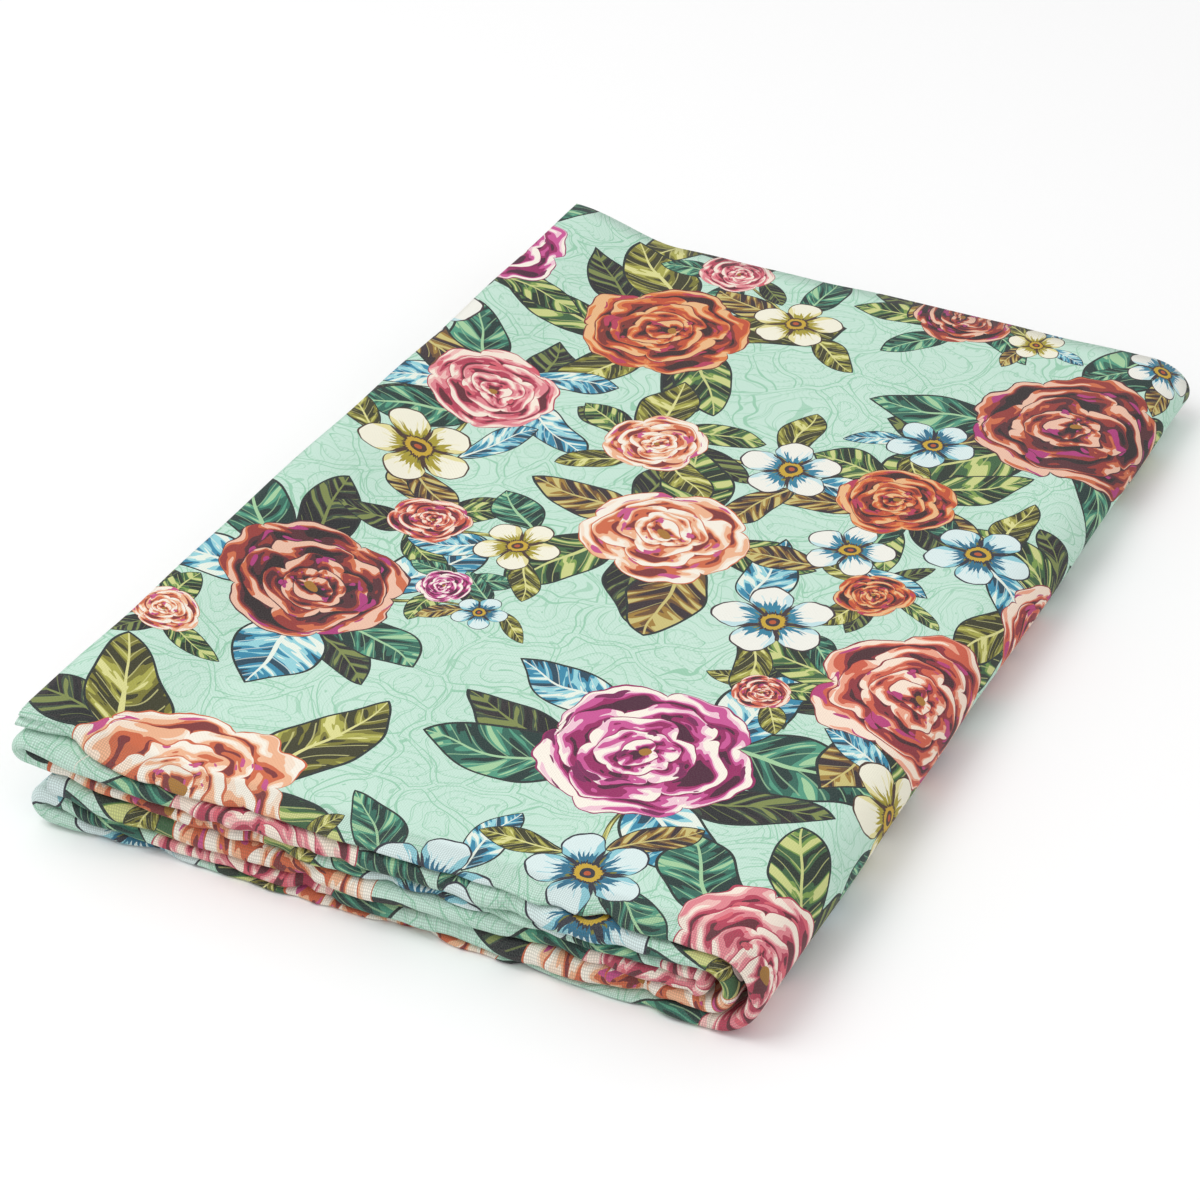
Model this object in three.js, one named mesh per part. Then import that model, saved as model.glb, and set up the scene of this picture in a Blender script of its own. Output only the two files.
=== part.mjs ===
// A length of printed cotton, folded into a flat packet for the shelf.
//
// The cloth is one continuous piece. It is folded in four across its width, so that each leaf
// of the packet is four plies thick, with a round fold along the front. It is then folded along
// its length into six leaves that lie on each other. Starting at the free end, the cloth runs:
//
//   top leaf, outer right turn, bottom leaf, lower left turn, fifth leaf, middle right turn,
//   second leaf, upper left turn, third leaf, inner right turn, fourth leaf.
//
// Each leaf and each turn is one solid. The top leaf can be lifted at its free left end and
// turned over to the right, about the outer right turn.
//
// Millimetres. +X runs along the front fold to the right, +Y to the back and +Z up.
// The origin is the centre of the footprint, on the surface that the packet lies on.

import * as THREE from 'three';

// Driving dimensions
const packetWidth = 225; // from the left turns to the right turns, along X
const packetDepth = 350; // from the front fold to the back edge, along Y
const leafThickness = 4.6; // four plies of cloth with the air between them
const leafGap = 0.3; // between a leaf and the next one
const seamGap = 0.3; // between a leaf and the turn that carries the cloth on
const backEdgeRadius = 1.4; // rounding of a leaf's back edge
const wrapClearance = 2; // room between the outer right turn and the folds that it wraps
const innerFoldSetback = 3; // how far the innermost right fold stays behind the middle one
const topLeafInset = 1; // free end of the top leaf, in from the left edge
const fourthLeafInset = 7; // free end of the fourth leaf, in from the left edge
const leftEdgeRise = 11; // the left edge stands this much taller than the rest, at the front
const leftEdgeReach = 40; // the rise fades out over this distance from the left edge
const backFlattening = 0.32; // share of its height that the stack loses from front to back

// Fineness of the faceted shapes
const noseSegments = 5; // an arc gets twice as many
const backCornerSegments = 1;
const riseSteps = 10; // across the raised left edge, the same for every leaf so that they nest
const turnSteps = 12;

// Levels of the stack, counted from the surface upwards
const leafNames = [
  'bottom_leaf', 'fifth_leaf', 'fourth_leaf', 'third_leaf', 'second_leaf', 'top_leaf',
];

const leafPitch = leafThickness + leafGap;
const stackHeight = leafNames.length * leafPitch - leafGap;
const leftEdgeX = -packetWidth / 2;
const leftTurnX = leftEdgeX + leafThickness + leafGap / 2;
const outerTurnX = packetWidth / 2 - stackHeight / 2;
const middleTurnX = outerTurnX - wrapClearance;
const innerTurnX = middleTurnX - innerFoldSetback;

// Right turns join the leaves of two levels. Each turns about the line at x, at mid height.
const rightTurns = [
  { name: 'outer_right_turn', lower: 0, upper: 5, x: outerTurnX },
  { name: 'middle_right_turn', lower: 1, upper: 4, x: middleTurnX },
  { name: 'inner_right_turn', lower: 2, upper: 3, x: innerTurnX },
];

// Left turns join neighbouring levels
const leftTurns = [
  { name: 'lower_left_turn', lower: 0, upper: 1 },
  { name: 'upper_left_turn', lower: 3, upper: 4 },
];

// Where the two ends of the cloth lie
const freeLeftEnds = new Map([
  ['top_leaf', leftEdgeX + topLeafInset],
  ['fourth_leaf', leftEdgeX + fourthLeafInset],
]);

function printedCotton() {
  return new THREE.MeshStandardMaterial({ color: 0x9fcfb5, roughness: 0.92, metalness: 0 });
}

// Outline of a leaf cut across, in its own plane: x is the way to the back, y is up from the
// leaf's lower face. The front is a half circle, and the back edge has two rounded corners.
function leafSection() {
  const front = -packetDepth / 2;
  const back = packetDepth / 2;
  const noseRadius = leafThickness / 2;
  const outline = new THREE.Path();
  outline.absarc(front + noseRadius, noseRadius, noseRadius, Math.PI / 2, Math.PI * 1.5, false);
  const nose = outline.getPoints(noseSegments);
  const lowerCorner = new THREE.Path();
  lowerCorner.absarc(
    back - backEdgeRadius, backEdgeRadius, backEdgeRadius, -Math.PI / 2, 0, false,
  );
  const upperCorner = new THREE.Path();
  upperCorner.absarc(
    back - backEdgeRadius, leafThickness - backEdgeRadius, backEdgeRadius, 0, Math.PI / 2, false,
  );
  return new THREE.Shape([
    ...nose,
    ...lowerCorner.getPoints(backCornerSegments),
    ...upperCorner.getPoints(backCornerSegments),
  ]);
}

// The stack is fuller at its left edge, where the turns of the cloth spring up, and lower at the
// back, where no front folds pad it
function settleStack(point) {
  const inFromLeft = (point.x - leftEdgeX) / leftEdgeReach;
  const rise = 1 - THREE.MathUtils.smoothstep(inFromLeft, 0, 1);
  const towardsBack = (point.y + packetDepth / 2) / packetDepth;
  point.z *= 1 + (leftEdgeRise / stackHeight) * rise;
  point.z *= 1 - backFlattening * towardsBack;
}

// Sweeps the leaf's section along a stretch of cloth. place(y, up, along, point) sets the point
// that lies at y, this far up from the section's base and this far along the stretch.
function clothStretch(name, length, steps, place) {
  const geometry = new THREE.ExtrudeGeometry(leafSection(), {
    depth: length, steps, bevelEnabled: false,
  });
  const positions = geometry.attributes.position;
  const point = new THREE.Vector3();
  for (let i = 0; i < positions.count; i += 1) {
    place(positions.getX(i), positions.getY(i), positions.getZ(i), point);
    settleStack(point);
    positions.setXYZ(i, point.x, point.y, point.z);
  }
  geometry.computeVertexNormals();
  const mesh = new THREE.Mesh(geometry, printedCotton());
  mesh.name = name;
  return mesh;
}

// The places along X where a leaf's section stands
function leafStations(left, right) {
  const stations = [left];
  for (let step = 1; step <= riseSteps; step += 1) {
    const x = leftEdgeX + (leftEdgeReach * step) / riseSteps;
    if (x > left) {
      stations.push(x);
    }
  }
  stations.push(right);
  return stations;
}

function leaf(level) {
  const turn = rightTurns.find((each) => each.lower === level || each.upper === level);
  const left = freeLeftEnds.get(leafNames[level]) ?? leftTurnX + seamGap;
  const stations = leafStations(left, turn.x - seamGap);
  const spans = stations.length - 1;
  const base = level * leafPitch;
  return clothStretch(leafNames[level], spans, spans, (y, up, along, point) => {
    point.set(stations[Math.round(along)], y, base + up);
  });
}

// Outer radius of a turn that joins two levels, and the height of the line it turns about
function turnRadius(turn) {
  return ((turn.upper - turn.lower) * leafPitch + leafThickness) / 2;
}

function turnHeight(turn) {
  return turn.lower * leafPitch + turnRadius(turn);
}

function rightTurn(turn) {
  const radius = turnRadius(turn);
  return clothStretch(turn.name, Math.PI, turnSteps, (y, up, angle, point) => {
    const reach = radius - up;
    point.set(turn.x + reach * Math.sin(angle), y, turnHeight(turn) - reach * Math.cos(angle));
  });
}

function leftTurn(turn) {
  const radius = turnRadius(turn);
  return clothStretch(turn.name, Math.PI, turnSteps, (y, up, angle, point) => {
    const reach = radius - up;
    point.set(leftTurnX - reach * Math.sin(angle), y, turnHeight(turn) + reach * Math.cos(angle));
  });
}

const packet = new THREE.Group();
for (let level = 0; level < leafNames.length; level += 1) {
  packet.add(leaf(level));
}
for (const turn of rightTurns) {
  packet.add(rightTurn(turn));
}
for (const turn of leftTurns) {
  packet.add(leftTurn(turn));
}

export default packet;
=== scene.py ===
"""A folded length of printed cotton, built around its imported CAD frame.

The cloth is one continuous piece. It is folded in four across its width and then, along its
length, into six leaves. Each leaf here has its four plies, with real folds at the front, at the
back and at both sides. Lengths are in millimetres until a mesh is made.
"""

import math

import bpy
import numpy as np
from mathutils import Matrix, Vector


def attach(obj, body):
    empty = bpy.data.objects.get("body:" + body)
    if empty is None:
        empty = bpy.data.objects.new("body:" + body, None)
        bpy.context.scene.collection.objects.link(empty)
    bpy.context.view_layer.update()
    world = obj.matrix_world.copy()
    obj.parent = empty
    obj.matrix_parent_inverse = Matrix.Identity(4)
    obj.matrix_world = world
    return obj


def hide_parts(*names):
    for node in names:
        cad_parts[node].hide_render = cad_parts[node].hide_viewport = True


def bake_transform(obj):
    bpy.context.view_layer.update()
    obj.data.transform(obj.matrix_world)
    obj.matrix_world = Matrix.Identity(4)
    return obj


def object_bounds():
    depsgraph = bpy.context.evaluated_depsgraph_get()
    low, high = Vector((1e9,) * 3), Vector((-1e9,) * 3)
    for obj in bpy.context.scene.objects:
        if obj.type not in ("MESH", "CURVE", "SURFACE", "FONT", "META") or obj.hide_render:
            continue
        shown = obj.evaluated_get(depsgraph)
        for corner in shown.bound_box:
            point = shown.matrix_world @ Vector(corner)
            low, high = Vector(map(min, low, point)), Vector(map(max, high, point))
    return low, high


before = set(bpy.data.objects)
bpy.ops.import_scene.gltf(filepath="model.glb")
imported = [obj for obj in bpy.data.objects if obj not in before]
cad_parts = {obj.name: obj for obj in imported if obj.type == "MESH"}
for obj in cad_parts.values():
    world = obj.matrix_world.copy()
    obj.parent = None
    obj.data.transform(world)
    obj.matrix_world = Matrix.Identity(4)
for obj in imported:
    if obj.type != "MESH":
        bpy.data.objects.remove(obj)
cad_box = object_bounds()

METRES = 0.001  # in a millimetre

# The packet's outline, as the CAD has it
LEFT, FRONT = [round(edge / METRES, 1) for edge in cad_box[0][:2]]
BACK = round(cad_box[1].y / METRES, 1)
DEPTH = BACK - FRONT

# The stack of leaves
STACK_HEIGHT = 29.0
LEFT_LIP_RISE = 0.38  # share of its height that the left edge stands above the rest
LEFT_LIP_REACH = 40.0
BACK_FLATTENING = 0.32  # share of its height that the stack loses from front to back
LEAF_COUNT = 6
LEAF_THICKNESS = 4.6
CLOTH_THICKNESS = 0.35

# The leaves, by level from the table upwards
BOTTOM, FIFTH, FOURTH, THIRD, SECOND, TOP = range(LEAF_COUNT)
FACING_UP = {TOP, FIFTH, THIRD}  # leaves on which the cloth's outer side lies upwards

# Where the cloth turns: the leaves that a turn joins, the line that it goes round, its outer
# radius, the side of the line that it lies on, and how many stations it has
OUTER_TURN = dict(lower=BOTTOM, upper=TOP, centre=97.95, radius=14.4, side=1, stations=24)
MIDDLE_TURN = dict(lower=FIFTH, upper=SECOND, centre=95.6, radius=9.6, side=1, stations=16)
INNER_TURN = dict(lower=FOURTH, upper=THIRD, centre=92.6, radius=4.9, side=1, stations=12)
UPPER_LEFT_TURN = dict(lower=THIRD, upper=SECOND, centre=-107.6, radius=4.9, side=-1, stations=12)
LOWER_LEFT_TURN = dict(lower=BOTTOM, upper=FIFTH, centre=-105.2, radius=4.9, side=-1, stations=12)
TOP_FREE_END = -112.3
FOURTH_FREE_END = -101.5
LEAF_STATIONS = 96

# How thick each leaf looks along the front fold, from the top leaf down, at places along X
FRONT_BANDS = {
    -110: (7, 5, 6, 8, 6.5, 7.5),
    -85: (6, 6, 5.5, 8, 5, 5),
    -60: (5, 6.6, 5.5, 8, 4, 2.5),
    -20: (4.5, 7, 4, 7, 5, 2),
    16: (4.5, 7, 3, 6, 7, 2),
    60: (4.5, 7, 3, 5.5, 7, 2),
    98: (4.7, 5.5, 4.5, 5, 5, 4.7),
}
FRONT_BAND_REACH = 35.0

# The front fold of each leaf: how far it stands back, how deep it rounds off above and below
# its foremost line, and how high in the leaf that line is
FRONT_FOLDS = {
    TOP: dict(back=0.6, over=8.5, under=2.4, apex=0.3),
    SECOND: dict(back=-0.7, over=3.4, under=3.0, apex=0.45),
    THIRD: dict(back=0.5, over=3.0, under=2.6, apex=0.42),
    FOURTH: dict(back=-0.2, over=3.2, under=2.6, apex=0.45),
    FIFTH: dict(back=0.7, over=3.0, under=2.8, apex=0.4),
    BOTTOM: dict(back=1.4, over=3.0, under=2.0, apex=0.4),
}
SETBACK_REACH = 45.0  # a leaf's setback fades out over this distance from the front
NOSE_REACH = 7.0  # and what is pressed into its front fold, over this one

# Small creases across the front folds, with the ranges of their sizes
PINCHES_PER_LEAF = 10
PINCH_DEPTHS = (0.7, 2.0)
PINCH_WIDTHS = (2.2, 5)
PINCH_LEANS = (-6, 6)
PINCH_MARGIN = 6  # from either end of the front
PINCH_SEED = 80

# Slow unevenness of the cloth: height, wavelength and seed of each kind of ripple. Where leaves
# differ, the seed is the first leaf's, and their rows in the relief are this far apart.
TOP_RIPPLES = ((0.4, 85, 3), (0.16, 33, 4))
BAND_RIPPLE, BAND_ROW = (0.008, 42, 20), 50.0
FRONT_RIPPLES, FRONT_ROW = ((0.8, 60, 40), (0.22, 19, 50)), 40.0
NOSE_RIPPLE, NOSE_ROW = (0.35, 15, 60), 31.0
NOSE_HEIGHT = 9  # how much of the relief one leaf's front takes in, upwards
TURN_RIPPLE = (0.25, 70, 70)
RIPPLE_WAVES = 8

# Places of the four plies in the height of a leaf
OUTER_PLY, INNER_UPPER_PLY, INNER_LOWER_PLY, LOWER_PLY = 0.94, 0.65, 0.35, 0.06
INNER_FOLD_SETBACK = 1.4
INNER_FOLD_DEPTH = 1.5
BACK_FOLD_DEPTH = 1.0
INNER_SELVEDGE_SETBACK = 1.6

# Rows across the cloth: on the outer plies, on the inner ones, round the front fold and round a
# small fold. The crowding is how much closer the rows of a ply lie near the front.
PLY_ROWS, INNER_ROWS, NOSE_ROWS, SMALL_FOLD_ROWS = 65, 25, 25, 9
PLY_CROWDING, INNER_CROWDING = 1.35, 1.5

# The middle of the stack swells out at the front left corner
CORNER_REACH = 45.0  # along X, from the left edge
CORNER_DEPTH = 30.0  # from the front towards the back
CORNER_LEFTWARDS = 3.6
CORNER_FORWARDS = 4.5
CORNER_FLATNESS = 0.7  # under 1, the swelling takes in more of the stack's height

# The top leaf's free end, where its front fold stands open: over, under and apex as above
FREE_END_SHAPE = (5.0, 3.2, 0.5)
FREE_END_REACH = 35.0
SLIT_DEPTH = 2.2
SLIT_HEIGHT = 0.12
SLIT_REACH = 16.0


def smooth_step(value, start, end):
    share = np.clip((value - start) / (end - start), 0, 1)
    return share * share * (3 - 2 * share)


def ripples(x, y, wavelength, seed):
    """Smooth random relief, mostly between -1 and 1."""
    draw = np.random.default_rng(seed)
    total = 0
    for _ in range(RIPPLE_WAVES):
        heading = draw.uniform(0, 2 * math.pi)
        phase = draw.uniform(0, 2 * math.pi)
        length = wavelength * draw.uniform(0.7, 1.5)
        along = x * math.cos(heading) + y * math.sin(heading)
        total = total + np.sin(2 * math.pi * along / length + phase)
    return total / math.sqrt(RIPPLE_WAVES)


# ---- the stack of leaves


def stack_top(x, y):
    rise = 1 - smooth_step(x, LEFT, LEFT + LEFT_LIP_REACH)
    towards_back = (y - FRONT) / DEPTH
    height = STACK_HEIGHT * (1 + LEFT_LIP_RISE * rise) * (1 - BACK_FLATTENING * towards_back)
    for relief, wavelength, seed in TOP_RIPPLES:
        height = height + relief * ripples(x, y, wavelength, seed)
    return height


def front_share(level, x):
    """Share of the stack's height that is below a leaf, along the front."""
    places = sorted(FRONT_BANDS)
    shares = []
    for place in places:
        bands = FRONT_BANDS[place][::-1]
        shares.append(sum(bands[:level]) / sum(bands))
    share = np.full(np.shape(x), shares[0])
    for i in range(1, len(places)):
        share = share + (shares[i] - shares[i - 1]) * smooth_step(x, places[i - 1], places[i])
    if 0 < level < LEAF_COUNT:
        relief, wavelength, seed = BAND_RIPPLE
        share = share + relief * ripples(x, level * BAND_ROW, wavelength, seed + level)
    return share


def boundary(level, x, y):
    """Height of the face between a leaf and the one below it. Level 6 is the top."""
    at_front = 1 - smooth_step(y, FRONT, FRONT + FRONT_BAND_REACH)
    even = level / LEAF_COUNT
    share = even + (front_share(level, x) - even) * at_front
    return stack_top(x, y) * share


def height_in_leaf(level, place, x, y):
    lower = boundary(level, x, y)
    return lower + place * (boundary(level + 1, x, y) - lower)


def front_setback(level, x):
    setback = FRONT_FOLDS[level]["back"]
    for relief, wavelength, seed in FRONT_RIPPLES:
        setback = setback + relief * ripples(x, level * FRONT_ROW, wavelength, seed + level)
    return setback


# ---- a stretch of cloth


def fold_shape(level, x):
    """The front fold's shape as the cloth sees it: over and under swap where it lies face down."""
    fold = FRONT_FOLDS[level]
    over, under, apex = fold["over"], fold["under"], fold["apex"]
    if level == TOP:
        from_end = smooth_step(x, LEFT, LEFT + FREE_END_REACH)
        over, under, apex = [
            end + (usual - end) * from_end
            for end, usual in zip(FREE_END_SHAPE, (over, under, apex))]
    if level in FACING_UP:
        return np.array([over, under, apex])
    return np.array([under, over, 1 - apex])


def pinch_depth(level, x, place):
    """How far small creases press the front fold in, at x and at places up the leaf."""
    draw = np.random.default_rng(PINCH_SEED + level)
    depth = 0
    for _ in range(PINCHES_PER_LEAF):
        centre = draw.uniform(LEFT + PINCH_MARGIN, OUTER_TURN["centre"] - PINCH_MARGIN)
        lean = draw.uniform(*PINCH_LEANS)
        width = draw.uniform(*PINCH_WIDTHS)
        offset = x - centre - lean * (place - 0.5)
        depth = depth + draw.uniform(*PINCH_DEPTHS) * np.exp(-((offset / width) ** 2))
    if level == TOP:
        slit = np.exp(-(((place - 0.5) / SLIT_HEIGHT) ** 2))
        depth = depth + SLIT_DEPTH * slit * (1 - smooth_step(x, LEFT, LEFT + SLIT_REACH))
    return depth


def leaf_columns(level, start, end):
    """Stations along a leaf, from one x to another."""
    columns = []
    for x in np.linspace(start, end, LEAF_STATIONS):
        columns.append({
            "leaf": level,
            "x": x,
            "shape": fold_shape(level, x),
            "setback": float(front_setback(level, x)),
        })
    return columns


def turn_columns(turn, from_upper):
    """Stations round a turn, between its upper and its lower leaf, both ends left out."""
    columns = []
    for angle in np.linspace(0, math.pi, turn["stations"] + 2)[1:-1]:
        ease = float(smooth_step(angle / math.pi, 0, 1))
        shapes = [fold_shape(turn[end], turn["centre"]) for end in ("lower", "upper")]
        setbacks = [float(front_setback(turn[end], turn["centre"])) for end in ("lower", "upper")]
        columns.append({
            "turn": turn,
            "angle": angle,
            "shape": shapes[0] + (shapes[1] - shapes[0]) * ease,
            "setback": setbacks[0] + (setbacks[1] - setbacks[0]) * ease,
        })
    return columns[::-1] if from_upper else columns


def section_rows(shape):
    """The four plies cut across, from the selvedge on top to the selvedge inside.

    Returns each row's distance from the front, its place in the leaf and which part it is in.
    """
    over, under, apex = shape
    ply_steps = np.linspace(0, 1, PLY_ROWS) ** PLY_CROWDING
    inner_steps = np.linspace(0, 1, INNER_ROWS) ** INNER_CROWDING
    arc = np.linspace(0, math.pi, NOSE_ROWS)[1:-1]
    small_arc = np.linspace(0, math.pi, SMALL_FOLD_ROWS)[1:-1]
    nose_depth = np.where(arc < math.pi / 2, over, under)
    nose_reach = np.where(arc < math.pi / 2, OUTER_PLY - apex, apex - LOWER_PLY)
    inner_front = INNER_FOLD_SETBACK + INNER_FOLD_DEPTH
    fold_line = DEPTH - BACK_FOLD_DEPTH
    selvedge = DEPTH - INNER_SELVEDGE_SETBACK
    parts = [
        ("outer", (over + (DEPTH - over) * ply_steps)[::-1], OUTER_PLY),
        ("nose", nose_depth * (1 - np.sin(arc)), apex + nose_reach * np.cos(arc)),
        ("under", under + (fold_line - under) * ply_steps, LOWER_PLY),
        (
            "back",
            fold_line + BACK_FOLD_DEPTH * np.sin(small_arc),
            (LOWER_PLY + INNER_LOWER_PLY) / 2
            - (INNER_LOWER_PLY - LOWER_PLY) / 2 * np.cos(small_arc),
        ),
        ("inner", (inner_front + (fold_line - inner_front) * inner_steps)[::-1], INNER_LOWER_PLY),
        (
            "inner",
            INNER_FOLD_SETBACK + INNER_FOLD_DEPTH * (1 - np.sin(small_arc)),
            0.5 - (INNER_UPPER_PLY - INNER_LOWER_PLY) / 2 * np.cos(small_arc),
        ),
        ("inner", inner_front + (selvedge - inner_front) * inner_steps, INNER_UPPER_PLY),
    ]
    distance = np.concatenate([part[1] for part in parts])
    place = np.concatenate([np.full(len(part[1]), part[2]) for part in parts])
    names = [part[0] for part in parts for _ in part[1]]
    return distance, place, names


def corner_bulge(x, y, z):
    """Share of the swelling at the front left corner that a point takes part in."""
    from_left = 1 - smooth_step(x, LEFT, LEFT + CORNER_REACH)
    from_front = np.exp(-(((y - FRONT) / CORNER_DEPTH) ** 2))
    height = np.clip(z / stack_top(x, y), 0, 1)
    return from_left * from_front * np.sin(math.pi * height) ** CORNER_FLATNESS


def column_points(column):
    """The cloth's middle surface at one station: points, and the length of cloth to each."""
    distance, place, _ = section_rows(column["shape"])
    near_front = 1 - smooth_step(distance, 0, SETBACK_REACH)
    y = FRONT + distance + column["setback"] * near_front
    at_nose = np.exp(-((distance / NOSE_REACH) ** 2))
    if "leaf" in column:
        level, x = column["leaf"], column["x"]
        relief, wavelength, seed = NOSE_RIPPLE
        row = place * NOSE_HEIGHT + level * NOSE_ROW
        y = y + relief * at_nose * ripples(x, row, wavelength, seed + level)
        if level not in FACING_UP:
            place = 1 - place
        y = y + at_nose * pinch_depth(level, x, place)
        x = np.full(len(y), x)
        z = height_in_leaf(level, place, x, y)
    else:
        turn = column["turn"]
        centre = turn["centre"]
        upper_place = place if turn["upper"] in FACING_UP else 1 - place
        upper = height_in_leaf(turn["upper"], upper_place, centre, y)
        lower = height_in_leaf(turn["lower"], 1 - upper_place, centre, y)
        reach = turn["radius"] - (1 - upper_place) * LEAF_THICKNESS
        x = centre + turn["side"] * reach * np.sin(column["angle"])
        relief, wavelength, seed = TURN_RIPPLE
        x = x + relief * math.sin(column["angle"]) * ripples(y, 0.0, wavelength, seed)
        z = (upper + lower) / 2 - (upper - lower) / 2 * np.cos(column["angle"])
    bulge = corner_bulge(x, y, z)
    x = x - CORNER_LEFTWARDS * bulge
    y = y - CORNER_FORWARDS * bulge
    steps = np.hypot(np.diff(distance), np.diff(place) * LEAF_THICKNESS)
    return np.stack([x, y, z], axis=1), np.concatenate([[0], np.cumsum(steps)])


def length_along(columns):
    """Length of cloth from the first station to each, a quarter of a leaf inside the turns."""
    lengths = [0.0]
    for before, after in zip(columns, columns[1:]):
        turn = after.get("turn") or before.get("turn")
        if "x" in before and "x" in after:
            lengths.append(lengths[-1] + abs(after["x"] - before["x"]))
        else:
            ends = [each.get("angle") for each in (before, after)]
            arc = abs(ends[1] - ends[0]) if None not in ends else end_angle(turn, before, after)
            lengths.append(lengths[-1] + arc * (turn["radius"] - LEAF_THICKNESS / 4))
    return np.array(lengths)


def end_angle(turn, before, after):
    """The angle between a turn's last station and the leaf next to it."""
    leaf, station = (before, after) if "leaf" in before else (after, before)
    if leaf["leaf"] == turn["upper"]:
        return math.pi - station["angle"]
    return station["angle"]


def surface_normals(points):
    across = np.gradient(points, axis=0)
    along = np.gradient(points, axis=1)
    normals = np.cross(along, across)
    return -normals / np.maximum(np.linalg.norm(normals, axis=2, keepdims=True), 1e-9)


# Room in the OFBake layout: for a millimetre of each part, and for the cloth's two sides
TEXEL_WEIGHT = {"outer": 1.0, "nose": 5.0, "under": 0.3, "back": 2.0, "inner": 0.1}
BAKE_BANDS = ((0.0, 0.92), (0.93, 1.0))


def cloth_piece(name, columns, length_before, materials):
    """Makes a sheet of real thickness through the stations, with its cloth coordinates."""
    stations = [column_points(column) for column in columns]
    points = np.stack([station[0] for station in stations], axis=1)
    cloth_length = length_before + length_along(columns)
    row_names = section_rows(columns[0]["shape"])[2]
    row_count, column_count = points.shape[:2]
    normals = surface_normals(points)
    layers = [points + normals * side * CLOTH_THICKNESS / 2 for side in (1, -1)]
    vertices = np.concatenate([layer.reshape(-1, 3) for layer in layers]) * METRES

    index = np.arange(row_count * column_count).reshape(row_count, column_count)
    corners = [index[:-1, :-1], index[1:, :-1], index[1:, 1:], index[:-1, 1:]]
    face = np.stack([corner.ravel() for corner in corners], axis=1)
    back = face[:, ::-1] + row_count * column_count
    border = np.concatenate([index[0, :], index[1:, -1], index[-1, -2::-1], index[-2::-1, 0]])
    rim = np.stack([border[:-1], border[1:]], axis=1)
    rim = np.concatenate([rim, rim[:, ::-1] + row_count * column_count], axis=1)
    faces = np.concatenate([face, back, rim])

    mesh = bpy.data.meshes.new(name)
    mesh.from_pydata(vertices.tolist(), [], faces.tolist())
    for material in materials:
        mesh.materials.append(material)
    reverse = np.zeros(len(faces), np.int32)
    reverse[len(face):] = 1
    mesh.polygons.foreach_set("material_index", reverse)
    mesh.polygons.foreach_set("use_smooth", np.ones(len(faces), bool))

    width_from_selvedge = np.stack([station[1] for station in stations], axis=1)
    cloth = np.stack([
        np.broadcast_to(cloth_length, (row_count, column_count)),
        BACK - width_from_selvedge,
    ], axis=2).reshape(-1, 2) * METRES
    add_uv(mesh, "cloth", np.concatenate([cloth, cloth]))
    add_uv(mesh, "OFBake", bake_places(width_from_selvedge, cloth_length, row_names))
    # Marks the front folds, where the painted shade between the threads is strongest
    fold = np.array([row == "nose" for row in row_names], float)
    fold = np.convolve(fold, [0.25, 0.5, 0.25], mode="same")  # fades in and out over a row
    fold = np.repeat(fold, column_count)
    attribute = mesh.attributes.new("fold", "FLOAT", "POINT")
    attribute.data.foreach_set("value", np.concatenate([fold, fold]).astype(np.float32))
    mesh.validate()
    return add_object(name, mesh)


def add_object(name, data):
    made = bpy.data.objects.new(name, data)
    bpy.context.scene.collection.objects.link(made)
    return made


def add_uv(mesh, name, per_vertex):
    corner_vertices = np.zeros(len(mesh.loops), np.int32)
    mesh.loops.foreach_get("vertex_index", corner_vertices)
    layer = mesh.uv_layers.new(name=name)
    layer.data.foreach_set("uv", per_vertex[corner_vertices].astype(np.float32).ravel())


def bake_places(width, length, row_names):
    """A second layout, where what shows on the outside has most of the room."""
    weights = np.array([TEXEL_WEIGHT[name] for name in row_names])
    steps = np.diff(width.mean(axis=1)) * weights[1:]
    down = np.concatenate([[0], np.cumsum(steps)])
    down = down / down[-1]
    across = (length - length[0]) / (length[-1] - length[0])
    places = []
    for low, high in BAKE_BANDS:
        up = low + (high - low) * down
        grid = np.stack(np.broadcast_arrays(across[None, :], up[:, None]))
        places.append(grid.reshape(2, -1).T)
    return np.concatenate(places)


# ---- shader values as numbers


def linear(colour):
    """A colour such as "#c9e4d7" as the shader wants it."""
    values = [int(colour[i:i + 2], 16) / 255 for i in (1, 3, 5)]
    values = [v / 12.92 if v <= 0.04045 else ((v + 0.055) / 1.055) ** 2.4 for v in values]
    return (*values, 1.0)


OTHER_NOISE = (371.0, 113.0, 0)  # this far off, the noise is another one


def operation(node_type, kind, output=0):
    """A method that puts a field, with the values given to it, through a node of this kind."""
    def apply(self, *values):
        node = self.tree.nodes.new(node_type)
        node.operation = kind
        for slot, value in zip(node.inputs, (self, *values)):
            self.plug(slot, value)
        return Field(self.tree, node.outputs[output])
    return apply


def number_operation(kind):
    return operation("ShaderNodeMath", kind)


def vector_operation(kind, output=0):
    return operation("ShaderNodeVectorMath", kind, output)


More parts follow.
